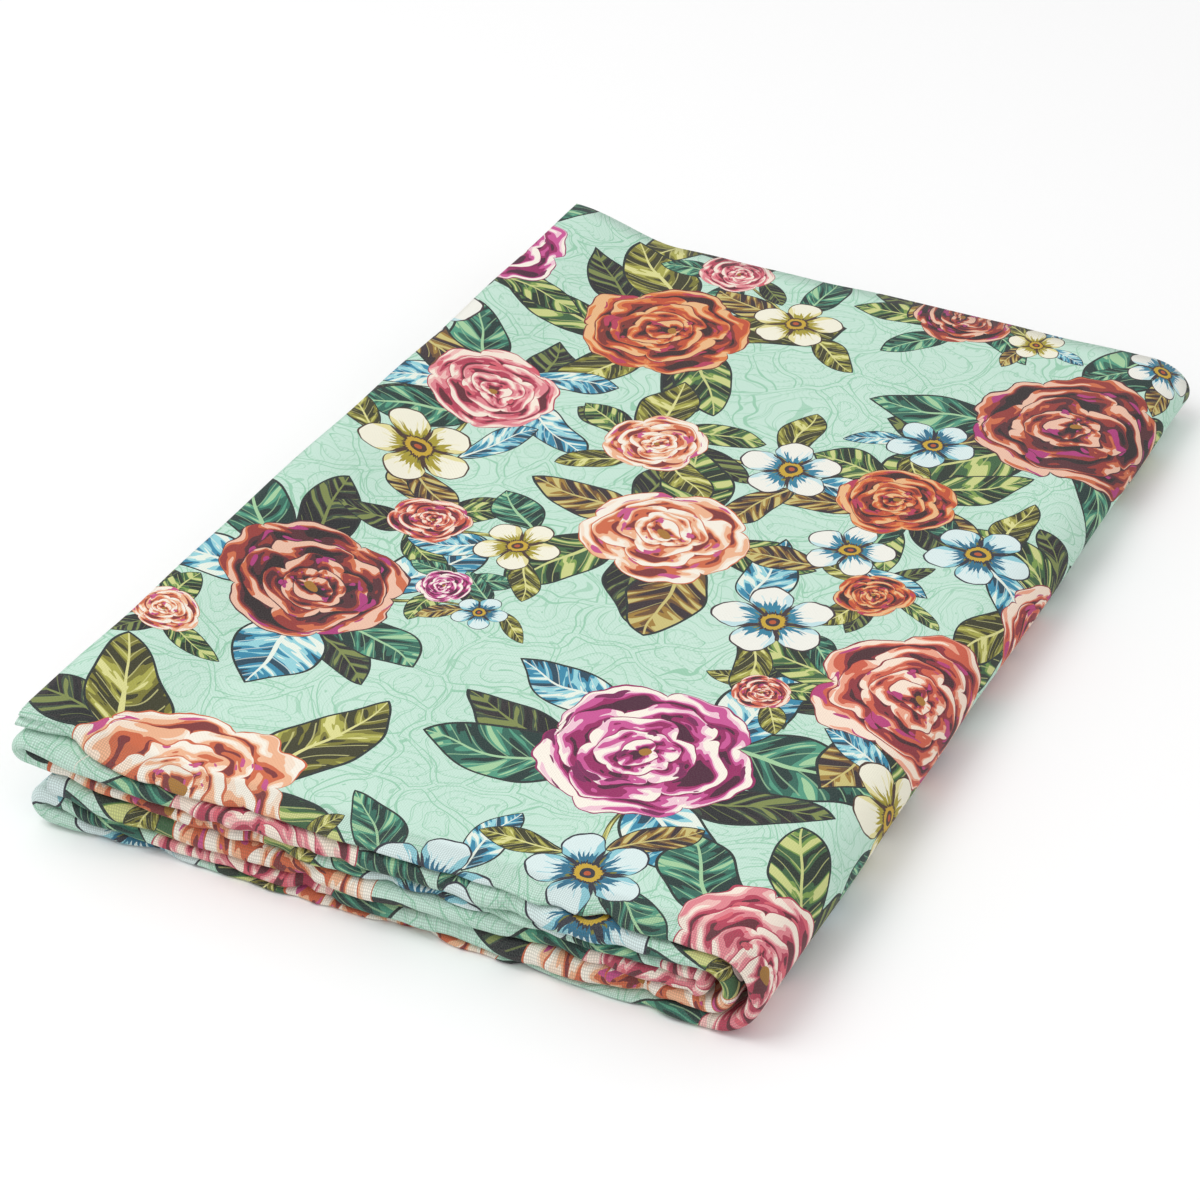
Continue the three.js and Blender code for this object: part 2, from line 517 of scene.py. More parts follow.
class Field:
    """A value or vector that varies over the surface. It combines as a number does."""

    def __init__(self, tree, socket):
        self.tree = tree
        self.socket = socket

    def plug(self, slot, value):
        if isinstance(value, Field):
            self.tree.links.new(value.socket, slot)
        else:
            slot.default_value = value

    __add__ = number_operation("ADD")
    __sub__ = number_operation("SUBTRACT")
    __mul__ = number_operation("MULTIPLY")
    times_plus = number_operation("MULTIPLY_ADD")
    power = number_operation("POWER")
    below = number_operation("LESS_THAN")
    above = number_operation("GREATER_THAN")
    highest = number_operation("MAXIMUM")
    size = number_operation("ABSOLUTE")
    whole = number_operation("FLOOR")
    fraction = number_operation("FRACT")
    sine = number_operation("SINE")
    cosine = number_operation("COSINE")
    heading_from = number_operation("ARCTAN2")

    moved = vector_operation("ADD")
    scaled = vector_operation("MULTIPLY")
    scaled_moved = vector_operation("MULTIPLY_ADD")
    wrapped = vector_operation("WRAP")
    unsigned = vector_operation("ABSOLUTE")
    length = vector_operation("LENGTH", output=1)
    distance_to = vector_operation("DISTANCE", output=1)

    def parts(self):
        node = self.tree.nodes.new("ShaderNodeSeparateXYZ")
        self.tree.links.new(self.socket, node.inputs[0])
        return [Field(self.tree, output) for output in node.outputs]

    def noise(self, scale, detail=1.0, dimensions="2D"):
        node = self.tree.nodes.new("ShaderNodeTexNoise")
        node.noise_dimensions = dimensions
        self.plug(node.inputs["Vector"], self)
        node.inputs["Scale"].default_value = scale
        node.inputs["Detail"].default_value = detail
        return Field(self.tree, node.outputs["Fac"])

    def wander(self, scale, reach, detail):
        """A smoothly varying step, up to half the reach each way."""
        aside = self.noise(scale, detail)
        along = self.moved(OTHER_NOISE).noise(scale, detail)
        return vector_of(*[each.times_plus(reach, -reach / 2) for each in (aside, along)])

    def warped(self, scale, reach, detail=1.0):
        """The point, moved about by smooth noise."""
        return self.moved(self.wander(scale, reach, detail))

    def cells(self, scale, feature="F1"):
        node = self.tree.nodes.new("ShaderNodeTexVoronoi")
        node.voronoi_dimensions = "2D"
        node.feature = feature
        self.plug(node.inputs["Vector"], self)
        node.inputs["Scale"].default_value = scale
        return Field(self.tree, node.outputs["Distance"])

    def pick(self, colours):
        """The colour whose number this value is."""
        node = self.tree.nodes.new("ShaderNodeValToRGB")
        ramp = node.color_ramp
        ramp.interpolation = "CONSTANT"
        count = len(colours)
        for i, colour in enumerate(colours):
            stop = ramp.elements[0] if i == 0 else ramp.elements.new(i / count)
            stop.position = i / count
            stop.color = linear(colour)
        while len(ramp.elements) > count:
            ramp.elements.remove(ramp.elements[-1])
        self.plug(node.inputs[0], self.times_plus(1 / count, 0.5 / count))
        return Field(self.tree, node.outputs[0])


def vector_of(x, y, z=0.0):
    node = x.tree.nodes.new("ShaderNodeCombineXYZ")
    for slot, value in zip(node.inputs, (x, y, z)):
        x.plug(slot, value)
    return Field(x.tree, node.outputs[0])


def mix(share, first, second, kind="RGBA"):
    """First where share is 0 and second where it is 1."""
    node = share.tree.nodes.new("ShaderNodeMix")
    node.data_type = kind
    slots = {"FLOAT": (2, 3, 0), "VECTOR": (4, 5, 1), "RGBA": (6, 7, 2)}[kind]
    share.plug(node.inputs[0], share)
    for slot, value in zip(slots[:2], (first, second)):
        share.plug(node.inputs[slot], linear(value) if isinstance(value, str) else value)
    return Field(share.tree, node.outputs[slots[2]])


def grouped(name, point, build, colour=False):
    """What build makes of the point, kept in a node group of that name."""
    group = bpy.data.node_groups.get(name)
    if group is None:
        group = bpy.data.node_groups.new(name, "ShaderNodeTree")
        kind = "NodeSocketColor" if colour else "NodeSocketVector"
        group.interface.new_socket("Point", in_out="INPUT", socket_type="NodeSocketVector")
        group.interface.new_socket("Result", in_out="OUTPUT", socket_type=kind)
        inside = group.nodes.new("NodeGroupInput")
        result = build(Field(group, inside.outputs[0]))
        group.links.new(result.socket, group.nodes.new("NodeGroupOutput").inputs[0])
    node = point.tree.nodes.new("ShaderNodeGroup")
    node.node_tree = group
    point.tree.links.new(point.socket, node.inputs[0])
    return Field(point.tree, node.outputs[0])


def new_material(name):
    material = bpy.data.materials.new(name)
    material.use_nodes = True
    return material, material.node_tree, material.node_tree.nodes["Principled BSDF"]


# ---- the floral print

REPEAT_WIDTH = 300.0  # along the cloth
REPEAT_HEIGHT = 390.0  # across it

# Deep shade, middle, warm, light, pale and accent tones of each kind of rose
ROSE_TONES = {
    "burgundy": ("#2a1b20", "#56232c", "#95332f", "#cf6b45", "#eec0a8", "#b0357a"),
    "cream": ("#7e2b2e", "#cf6640", "#efb48e", "#f6e0cb", "#f8f0e2", "#c8508a"),
    "magenta": ("#4a1032", "#98195f", "#cc5295", "#f3c8d6", "#fbf3e6", "#7a1a55"),
    "coral": ("#481c26", "#8f2b36", "#cf5c44", "#eea58a", "#f9e3d0", "#b93a78"),
    "pink": ("#64202f", "#b53a55", "#e2858f", "#f2bdb8", "#f9e9da", "#d9606f"),
    "orange": ("#38181b", "#7f2a26", "#c24c2c", "#e07f42", "#edb985", "#b83658"),
}
ROSE_RADII = (
    34, 33, 32, 31, 30, 29, 28, 26, 26, 24, 22, 19, 17, 17, 15, 13, 13, 12, 12, 10, 9, 9,
)

# Petal, petal shade, streak, base and outline of each kind of blossom
BLOSSOM_TONES = {
    "white": ("#f2f1e8", "#c3e2e6", "#2d7f9d", "#8f8a34", "#3d2c34"),
    "blue": ("#dcedec", "#8fcbd6", "#256c8b", "#7c7a2a", "#2d2a3a"),
    "yellow": ("#f4f0dc", "#e6dc9c", "#a99a2c", "#7a7426", "#4a3026"),
}
BLOSSOM_RADII = (25, 20, 19, 19, 18, 18, 17, 17, 16, 15, 15, 14, 13, 12, 10, 10, 9)

# Dark, middle, light and vein tones of each kind of leaf
LEAF_TONES = {
    "teal": ("#16312f", "#2b6556", "#4f9a7e", "#a5cfa0"),
    "forest": ("#1e2b22", "#39603a", "#7b9b4a", "#cdd288"),
    "olive": ("#37351a", "#7a762b", "#aba94a", "#dedb92"),
    "blue": ("#1d4257", "#2f87a8", "#96d2da", "#eaf2e6"),
    "brown": ("#33222a", "#6b4a2b", "#a07c34", "#cdbf78"),
    "shadow": ("#1b1a20", "#2b2328", "#3a4a3a", "#7f8a4c"),
}
LEAF_KINDS = list(LEAF_TONES)
LARGE_ROSE = 15  # a rose over this radius has five leaves, and another one three
ROSE_LEAF_KINDS = (("teal", "forest"), ("olive", "forest"), ("blue", "teal"), ("forest", "brown"))
BLOSSOM_LEAF_KINDS = ("olive", "teal", "brown", "blue")
STEM_WIDTH = 1.7
STEM_REACH = 0.62  # half length of a stem, as a share of the way that it bridges

# How leaves fan out from behind a flower. A half length is a share of the flower's radius and a
# little more, and a half width is a share of the half length. The middle of a leaf is "out" of
# the flower's radii and "along" of its own half lengths away from the flower's middle.
ROSE_FAN = dict(length=(0.55, 0.78), more=3.5, width=(0.78, 1.08), out=0.86, along=0.45, lean=0.5)
BLOSSOM_FAN = dict(length=(0.55, 0.8), more=3, width=(0.7, 1.0), out=0.9, along=0.5, lean=0.4)
SHADOW_FAN = dict(length=0.62, more=3, width=0.85, out=0.8, along=0.5, lean=0.6)
SHADOW_HEADINGS = (0.6, 3.4)

PLACING_TRIES = 400
ROSE_SEED, BLOSSOM_SEED, LEAF_SEED = 5, 105, 11


def centred(value, repeat):
    """The same place in the repeat that lies round the origin."""
    return (value + repeat / 2) % repeat - repeat / 2


def distance_apart(place, other):
    """The shorter way between two places of a pattern that repeats."""
    across = centred(place[0] - other[0], REPEAT_WIDTH)
    up = centred(place[1] - other[1], REPEAT_HEIGHT)
    return math.hypot(across, up)


def has_room(place, radius, flowers, spacing):
    return all(
        distance_apart(place, flower) > (radius + flower[2]) * spacing for flower in flowers)


def scatter_roses():
    """Roses all over the repeat, the largest furthest apart: x, y, radius, turn and kind."""
    draw = np.random.default_rng(ROSE_SEED)
    kinds = list(ROSE_TONES)
    roses = []
    for number, radius in enumerate(ROSE_RADII):
        for _ in range(PLACING_TRIES):
            place = draw.uniform(-0.5, 0.5, 2) * (REPEAT_WIDTH, REPEAT_HEIGHT)
            if has_room(place, radius, roses, 0.95 + radius / 100):
                roses.append((*place, radius, draw.uniform(0, 6), kinds[number % len(kinds)]))
                break
    return roses


def scatter_blossoms(roses):
    """Blossoms, each close to a rose."""
    draw = np.random.default_rng(BLOSSOM_SEED)
    kinds = list(BLOSSOM_TONES)
    blossoms = []
    for number, radius in enumerate(BLOSSOM_RADII):
        for _ in range(PLACING_TRIES):
            x, y, rose_radius, *_ = roses[draw.integers(len(roses))]
            heading = draw.uniform(0, 2 * math.pi)
            reach = (rose_radius + radius) * draw.uniform(0.95, 1.15)
            place = (x + reach * math.cos(heading), y + reach * math.sin(heading))
            if has_room(place, radius, roses, 0.94) and has_room(place, radius, blossoms, 0.95):
                blossoms.append((*place, radius, draw.uniform(0, 6), kinds[number % len(kinds)]))
                break
    return blossoms


ROSES = scatter_roses()
BLOSSOMS = scatter_blossoms(ROSES)


def stem_placements():
    """Stems from the roses to the nearest blossoms. They are leaves, long and narrow."""
    stems = []
    for x, y, *_ in ROSES:
        ways = [
            (centred(other[0] - x, REPEAT_WIDTH), centred(other[1] - y, REPEAT_HEIGHT))
            for other in BLOSSOMS]
        across, up = min(ways, key=lambda way: math.hypot(*way))
        heading = math.atan2(up, across)
        half_length = math.hypot(across, up) * STEM_REACH
        stems.append((x + across / 2, y + up / 2, heading, half_length, STEM_WIDTH, "olive"))
    return stems


def leaf_behind(flower, fan, heading, lean, half_length, half_width, kind):
    """One leaf that comes out from behind a flower: x, y, heading, half sizes and kind."""
    x, y, radius, *_ = flower
    reach = radius * fan["out"] + half_length * fan["along"]
    x += reach * math.cos(heading)
    y += reach * math.sin(heading)
    return (x, y, heading + lean, half_length, half_width, kind)


def leaf_fan(flower, fan, kinds, draw):
    """Leaves of these kinds, spread round a flower."""
    radius, turn = flower[2:4]
    leaves = []
    for i, kind in enumerate(kinds):
        heading = turn + 2 * math.pi * (i + draw.uniform(-0.3, 0.3)) / len(kinds)
        half_length = radius * draw.uniform(*fan["length"]) + fan["more"]
        lean = draw.uniform(-fan["lean"], fan["lean"])
        half_width = half_length * draw.uniform(*fan["width"])
        leaves.append(leaf_behind(flower, fan, heading, lean, half_length, half_width, kind))
    return leaves


def shadow_leaves(rose, draw):
    """Two dark leaves that lie below a rose's others."""
    fan = SHADOW_FAN
    radius, turn = rose[2:4]
    half_length = radius * fan["length"] + fan["more"]
    half_width = half_length * fan["width"]
    leaves = []
    for aside in SHADOW_HEADINGS:
        lean = draw.uniform(-fan["lean"], fan["lean"])
        leaves.append(leaf_behind(rose, fan, turn + aside, lean, half_length, half_width, "shadow"))
    return leaves


def leaf_placements():
    """Stems, dark leaves in the shade, and leaves fanned out from behind the flowers."""
    draw = np.random.default_rng(LEAF_SEED)
    leaves = stem_placements()
    for rose in ROSES:
        leaves += shadow_leaves(rose, draw)
    for number, rose in enumerate(ROSES):
        pair = ROSE_LEAF_KINDS[number % len(ROSE_LEAF_KINDS)]
        count = 5 if rose[2] > LARGE_ROSE else 3
        leaves += leaf_fan(rose, ROSE_FAN, [pair[i % 2] for i in range(count)], draw)
    for number, blossom in enumerate(BLOSSOMS):
        kinds = [BLOSSOM_LEAF_KINDS[(number + i) % 4] for i in range(3)]
        leaves += leaf_fan(blossom, BLOSSOM_FAN, kinds, draw)
    return leaves


def crosses_border(centre, reach):
    return (abs(centre[0]) + reach > REPEAT_WIDTH / 2
            or abs(centre[1]) + reach > REPEAT_HEIGHT / 2)


def in_repeat(point, centre, turned=False):
    """The point, brought to the repeat of the print around this centre."""
    half = (REPEAT_WIDTH / 2, REPEAT_HEIGHT / 2, 1)
    if turned:
        centre, half = (centre[1], -centre[0]), (half[1], half[0], 1)
    high = (centre[0] + half[0], centre[1] + half[1], 1)
    low = (centre[0] - half[0], centre[1] - half[1], -1)
    return point.wrapped(high, low)


ROUND_MARGIN = 1.12  # a round motif's petals may reach this many radii
TURN_UNIT = 10.0  # the radians that a motif's turn is counted in, so that it stays below 1
NOWHERE = (9, 9, 0)  # a place that is outside every motif


def nearest_round(print_point, motifs, kinds):
    """Where the point is in the round motif that covers it, in radii. The third number holds the
    motif's kind, and in its decimals the motif's turn."""
    central = in_repeat(print_point, (0, 0))
    found = central.scaled_moved((0, 0, 0), NOWHERE)
    for x, y, radius, turn, kind in motifs:
        centre = (centred(x, REPEAT_WIDTH), centred(y, REPEAT_HEIGHT))
        point = central
        if crosses_border(centre, radius * ROUND_MARGIN):
            point = in_repeat(print_point, centre)
        mark = kinds.index(kind) + turn / TURN_UNIT
        local = point.scaled_moved(
            (1 / radius, 1 / radius, 0), (-centre[0] / radius, -centre[1] / radius, mark))
        inside = local.distance_to((0, 0, mark)).below(ROUND_MARGIN)
        found = mix(inside, found, local, "VECTOR")
    return found


LEAF_CURVE = 0.75  # how far beyond the midrib the arcs of a leaf's two sides are centred
LEAF_ARC = math.hypot(1, LEAF_CURVE)


def nearest_leaf(print_point):
    """Where the point is in the leaf that covers it: along and across it, in half lengths and
    half widths, and the number of its kind."""
    # Both are made here, side by side, so that Cycles works leaf by leaf and not by kind of node
    x, y, _ = print_point.parts()
    straight_point, turned_point = vector_of(x, y), vector_of(y, x * -1.0)
    central = in_repeat(straight_point, (0, 0))
    central_turned = in_repeat(turned_point, (0, 0), turned=True)
    found = central.scaled_moved((0, 0, 0), NOWHERE)
    for x, y, heading, half_length, half_width, kind in leaf_placements():
        centre = (centred(x, REPEAT_WIDTH), centred(y, REPEAT_HEIGHT))
        point, turned = central, central_turned
        if crosses_border(centre, half_length):
            point = in_repeat(straight_point, centre)
            turned = in_repeat(turned_point, centre, turned=True)
        cosine, sine = math.cos(heading), math.sin(heading)
        number = LEAF_KINDS.index(kind)
        offset = (
            -(centre[0] * cosine + centre[1] * sine) / half_length,
            -(centre[1] * cosine - centre[0] * sine) / half_width,
            number,
        )
        local = point.scaled_moved((cosine / half_length, cosine / half_width, 0), offset)
        local = turned.scaled_moved((sine / half_length, sine / half_width, 0), local)
        inside = local.unsigned().distance_to((0, -LEAF_CURVE, number)).below(LEAF_ARC)
        found = mix(inside, found, local, "VECTOR")
    return found


def kind_colours(tones, kind, tone):
    """One tone of whichever kind the motif is."""
    return kind.pick([tones[name][tone] for name in tones])


def stepped(value, limits, tones):
    """The first tone, and above each limit the next one."""
    found = tones[0]
    for limit, tone in zip(limits, tones[1:]):
        found = mix(value.above(limit), found, tone)
    return found


LEAF_SHADES = (0.49, 0.59, 0.67)  # strokes above these take the next lighter tone
LEAF_OUTLINE = 0.035
MIDRIB_WIDTH, MIDRIB_TAPER = 0.024, 0.014
VEIN_SPACING, VEIN_SLANT, VEIN_WIDTH, VEIN_REACH = 4.2, -4.6, 0.09, 0.4


def draw_leaf(local, ground):
    """A leaf in brush strokes that slant as its veins do, one half of it lighter."""
    along, across, kind = local.parts()
    side = across.size()
    edge = local.unsigned().scaled((1, 1, 0)).distance_to((0, -LEAF_CURVE, 0))
    brush = vector_of(along.times_plus(4.5, side * -4.0), side.times_plus(1.3, kind * 3.0))
    stroke = brush.noise(1.0, detail=1.5)
    stroke = across.above(0.0).times_plus(0.07, stroke) + along * 0.03
    dark, middle, light, pale = [kind_colours(LEAF_TONES, kind, tone) for tone in range(4)]
    tone = stepped(stroke, LEAF_SHADES, (dark, middle, light, pale))
    vein = along.times_plus(VEIN_SPACING, side * VEIN_SLANT).fraction().below(VEIN_WIDTH)
    tone = mix(vein * side.below(VEIN_REACH) * 0.6, tone, pale)
    midrib = along.times_plus(-MIDRIB_TAPER, MIDRIB_WIDTH).above(side)
    tone = mix(midrib, tone, pale)
    tone = mix(edge.above(LEAF_ARC - LEAF_OUTLINE), tone, "#232b2c")
    return mix(edge.below(LEAF_ARC), ground, tone)


def in_motif(local, print_point, scale, reach):
    """A round motif's kind, and the distance and angle from its middle, unevenly hand-drawn."""
    mark = local.parts()[2]
    kind = mark.whole()
    unevenness = print_point.wander(scale, reach, 1.5)
    point = local.scaled((1, 1, 0)).moved(unevenness)
    x, y, _ = point.parts()
    radius = point.length()
    angle = y.heading_from(x)
    return kind, radius, (mark - kind).times_plus(-TURN_UNIT, angle)


# Rings of petals: outer edge, number of petals, turn, depth of the notches between them, and
# how far the ring's centre lies to one side
PETAL_RINGS = [
    (1.0, 5, 0.2, 0.14, 0.0),
    (0.78, 4, 1.1, 0.20, 0.06),
    (0.56, 3, 0.5, 0.24, 0.09),
    (0.37, 3, 1.9, 0.26, 0.10),
    (0.20, 2, 0.4, 0.28, 0.08),
]
ROSE_SHADES = (0.40, 0.56, 0.80, 1.06)  # shade above these takes the next darker tone
EYE_RADIUS = 0.06  # a rose's and a blossom's


def draw_rose(local, print_point, ground):
    """Rings of petals that darken inwards from their pale edges, in brush strokes."""
    kind, radius, angle = in_motif(local, print_point, 0.07, 0.28)
    lean = (angle - 0.8).cosine()
    swirl = vector_of(angle.cosine() * 1.8, angle.sine() * 1.8, radius * 9.0)
    stroke = swirl.noise(0.8, detail=1.0, dimensions="3D")
    accent = swirl.moved((7.0, 3.0, 5.0)).noise(0.9, detail=1.0, dimensions="3D")
    depth = radius * 0.0
    outer_edge = None
    for reach, petals, turn, notch, aside in PETAL_RINGS:
        lobe = angle.times_plus(petals / 2, turn * petals / 2).cosine().size().power(0.45)
        edge = lean.times_plus(aside, lobe.times_plus(notch * reach, reach * (1 - notch)))
        outer_edge = outer_edge or edge
        inwards = (edge - radius) * (1 / (0.15 + 0.12 * reach))
        depth = mix(inwards.above(0.0), depth, inwards, "FLOAT")
    shade = depth.times_plus(0.8, stroke.times_plus(2.6, -1.04))
    deep, middle, warm, light, pale, bright = [
        kind_colours(ROSE_TONES, kind, tone) for tone in range(6)]
    tone = stepped(shade, ROSE_SHADES, (pale, light, warm, middle, deep))
    tone = mix(accent.above(0.65) * shade.above(0.3), tone, bright)
    petal_edge = (depth + stroke * 0.16).below(0.13)
    tone = mix(petal_edge, tone, middle)
    tone = mix(radius.below(EYE_RADIUS), tone, "#a8742a")
    return mix((outer_edge - radius).above(0.0), ground, tone)


PETAL_COUNT = 5  # of a blossom


def draw_blossom(local, print_point, ground):
    """Five petals with streaks and veins, round a ring of stamens and an eye."""
    kind, radius, angle = in_motif(local, print_point, 0.12, 0.14)
    lobe = angle.times_plus(PETAL_COUNT / 2, 0.0).cosine().size()
    edge = lobe.power(0.55).times_plus(0.52, 0.46)
    rays = vector_of(angle.cosine() * 9.0, angle.sine() * 9.0, radius).noise(
        1.0, detail=1, dimensions="3D")
    petals, shade, streak, base, outline = [
        kind_colours(BLOSSOM_TONES, kind, tone) for tone in range(5)]
    tone = mix((lobe + rays * 0.6).below(0.86), petals, shade)
    vein = angle.times_plus(35.0, radius * 3.0).sine().above(0.8) * (radius - rays).below(0.1)
    tone = mix(vein * 0.7, tone, shade)
    tone = mix((radius - rays * 0.75).below(0.08), tone, streak)
    tone = mix((radius - rays * 0.5 + lobe * 0.12).below(0.1), tone, base)
    wedge = (lobe + radius * 0.55 + rays * 0.3).below(0.62)
    tone = mix(wedge, tone, outline)
    gap = lobe.below(0.14) * radius.above(0.3)
    tone = mix(gap, tone, outline)
    tone = mix((edge - radius).below(0.035), tone, outline)
    middle = (radius - rays * 0.2).below(0.17)
    tone = mix(middle, tone, outline)
    stamens = radius.above(0.13) * (radius - rays * 0.1).below(0.17)
    tone = mix(stamens, tone, "#c9a52e")
    tone = mix(radius.below(EYE_RADIUS), tone, "#b8542c")
    return mix((edge - radius).above(0.0), ground, tone)


def draw_ground(print_point):
    """Pale mint with tonal line drawing of petals and leaves."""
    drawn = print_point.warped(0.035, 24.0, detail=1.5)
    border = (drawn.cells(0.045, "DISTANCE_TO_EDGE") - 0.05).size().below(0.011)
    contour = (drawn.cells(0.045) * 4.5).fraction()
    fine = (drawn.noise(0.05, detail=1) * 15.0).fraction().below(0.09)
    hatching = (drawn.parts()[0] * 0.75).fraction().below(0.3) * contour.above(0.8)
    lines = border.highest(contour.below(0.05)).highest(fine * 0.7).highest(hatching * 0.55)
    shade = print_point.noise(0.03).times_plus(0.5, 0.1)
    tone = mix(shade, "#cbe8d9", "#bee1d0")
    return mix(lines * 0.8, tone, "#8cc7a6")


def layers_apart(motifs):
    """The motifs, in layers within which none touch."""
    layers = []
    for motif in motifs:
        for layer in layers:
            if all(clear_of(motif, other) for other in layer):
                layer.append(motif)
                break
        else:
            layers.append([motif])
    return layers


def clear_of(motif, other):
    return distance_apart(motif, other) > (motif[2] + other[2]) * ROUND_MARGIN


def printed_colour(print_point):
    """The whole print: the ground, then stems and leaves, blossoms, and roses on top."""
    bent = print_point.warped(0.028, 13.0)
    colour = draw_ground(print_point)
    colour = draw_leaf(grouped("leaf_places", bent, nearest_leaf), colour)
    for title, motifs, tones, draw in [
        ("blossoms", BLOSSOMS, BLOSSOM_TONES, draw_blossom),
        ("roses", ROSES, ROSE_TONES, draw_rose),
    ]:
        for number, layer in enumerate(layers_apart(motifs)):
            places = grouped(
                f"{title}_{number}", print_point,
                lambda point, layer=layer, tones=tones: nearest_round(point, layer, list(tones)))
            colour = draw(places, print_point, colour)
    return colour


THREAD_SPACING = 0.65  # between neighbouring threads of the weave
WEAVE_RELIEF = 0.12
WEAVE_WAVER = (0.4, 0.35)  # scale and reach of the threads' wandering from their line
REVERSE_PALENESS = 0.6  # how much of the print is lost on the cloth's reverse
# Painted shade: the openings between the threads are darkened by up to this much
GAP_SHADE = 0.20  # how dark the openings between the threads are


def cotton(name, reverse):
    """Plain-woven cotton. The print shows through only faintly on the reverse."""
    material, tree, shader = new_material(name)
    uv = tree.nodes.new("ShaderNodeUVMap")
    uv.uv_map = "cloth"
    cloth = Field(tree, uv.outputs[0]).scaled((1 / METRES, 1 / METRES, 0))
    fold = tree.nodes.new("ShaderNodeAttribute")
    fold.attribute_name = "fold"
    fold = Field(tree, fold.outputs["Fac"])

    warp_way, weft_way, _ = cloth.warped(*WEAVE_WAVER).parts()
    warp_thread = (warp_way * (math.pi / THREAD_SPACING)).sine()
    weft_thread = (weft_way * (math.pi / THREAD_SPACING)).sine()
    crossing = warp_thread * weft_thread
    slubs = cloth.scaled((0.5, 6.0, 0)).noise(1.0, detail=1)
    height = crossing.times_plus(0.5, slubs * 0.35)

    colour = grouped("floral_print", cloth, printed_colour, colour=True)
    if reverse:
        colour = mix(cloth.noise(0.5).times_plus(0.1, REVERSE_PALENESS), colour, "#e4e9df")
    # Painted shade in the openings between the threads, two and a half times as strong along the
    # front folds
    painted_gap_shade = crossing.size().times_plus(-GAP_SHADE, GAP_SHADE) * fold.times_plus(1.2, 0.8)
    colour = mix(painted_gap_shade, colour, "#3f4a44")
    fibres = cloth.noise(3.0, detail=2)
    colour = mix(fibres.times_plus(0.14, -0.05), colour, "#f0efe6")
    tree.links.new(colour.socket, shader.inputs["Base Color"])
    rough = fibres.times_plus(0.16, 0.78)
    tree.links.new(rough.socket, shader.inputs["Roughness"])
    shader.inputs["Specular IOR Level"].default_value = 0.25
    shader.inputs["Sheen Weight"].default_value = 0.06
    shader.inputs["Sheen Roughness"].default_value = 0.45

    bump = tree.nodes.new("ShaderNodeBump")
    bump.inputs["Strength"].default_value = 0.6
    bump.inputs["Distance"].default_value = WEAVE_RELIEF * METRES
    tree.links.new(height.socket, bump.inputs["Height"])
    tree.links.new(bump.outputs[0], shader.inputs["Normal"])
    return material


# ---- the pieces


def build_cloth():
    """The cloth's four stretches. Each starts at the last station of the one before."""
    materials = [cotton("printed_cotton", False), cotton("printed_cotton_reverse", True)]
    top = leaf_columns(TOP, TOP_FREE_END, OUTER_TURN["centre"])
    bottom = leaf_columns(BOTTOM, OUTER_TURN["centre"], LOWER_LEFT_TURN["centre"])
    fifth = leaf_columns(FIFTH, LOWER_LEFT_TURN["centre"], MIDDLE_TURN["centre"])
    second = leaf_columns(SECOND, MIDDLE_TURN["centre"], UPPER_LEFT_TURN["centre"])
    third = leaf_columns(THIRD, UPPER_LEFT_TURN["centre"], INNER_TURN["centre"])
    fourth = leaf_columns(FOURTH, INNER_TURN["centre"], FOURTH_FREE_END)
    outer = turn_columns(OUTER_TURN, True)
    lower_left = turn_columns(LOWER_LEFT_TURN, False)
    middle = turn_columns(MIDDLE_TURN, False)
    upper_left = turn_columns(UPPER_LEFT_TURN, True)
    inner = turn_columns(INNER_TURN, True)
    plan = [
        ("top_leaf_cloth", [*top, *outer, bottom[0]]),
        ("lower_cloth", [*bottom, *lower_left, *fifth]),
        ("middle_cloth", [fifth[-1], *middle, *second, *upper_left, *third]),
        ("inner_cloth", [third[-1], *inner, *fourth]),
    ]
    length = TOP_FREE_END
    pieces = {}
    for name, columns in plan:
        pieces[name] = cloth_piece(name, columns, length, materials)
        pieces[name]["cloth_length"] = length_along(columns)[-1]
        length += pieces[name]["cloth_length"]
    return pieces


# The CAD nodes that each stretch of cloth stands for, and what it rests on
STRETCHES = {
    "top_leaf_cloth": (("top_leaf", "outer_right_turn"), "middle_cloth"),
    "lower_cloth": (("bottom_leaf", "lower_left_turn", "fifth_leaf"), "floor"),
    "middle_cloth": (
        ("middle_right_turn", "second_leaf", "upper_left_turn", "third_leaf"), "inner_cloth"),
    "inner_cloth": (("inner_right_turn", "fourth_leaf"), "lower_cloth"),
}


def attach_cloth(pieces):
    for name, (nodes, support) in STRETCHES.items():
        piece = pieces[name]
        if name == "top_leaf_cloth":
            bend_over_turn(piece)
        else:
            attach(piece, "folded_stack")
        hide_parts(*nodes)


def bend_over_turn(piece):
    """Bakes the top leaf's cloth's placement into its mesh."""
    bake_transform(piece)


THREAD_RADIUS = 0.13  # of the loose thread
THREAD_PATH = [  # from between the top leaf and the second one, forward and down
    (-92.2, -173.5, 28.8), (-92.3, -176.5, 29.6), (-92.6, -178.7, 30.0),
    (-93.2, -179.5, 29.2), (-93.9, -179.6, 28.0), (-94.2, -179.3, 26.8),
]


def thread_cotton():
    """White spun thread, with its fibres twisted round it, and painted shade along the grooves of
    its twist.
    """
    material, tree, shader = new_material("thread_cotton")
    place = tree.nodes.new("ShaderNodeTexCoord")
    point = Field(tree, place.outputs["Object"]).scaled((1 / METRES,) * 3)
    x, y, z = point.parts()
    twist = (x + y * 0.6 + z * 2.0) * 9.0
    # Painted shade: the thread is darker along the spiral grooves between its strands; the fibre
    # noise is random tone
    painted_twist_shading = twist.sine().times_plus(0.5, 0.5)
    fibres = point.noise(14.0, detail=2, dimensions="3D")
    colour = mix((painted_twist_shading + fibres * 0.6).times_plus(0.5, 0.0), "#c9c4b4", "#f5f2e8")
    tree.links.new(colour.socket, shader.inputs["Base Color"])
    rough = fibres.times_plus(0.2, 0.7)
    tree.links.new(rough.socket, shader.inputs["Roughness"])
    return material


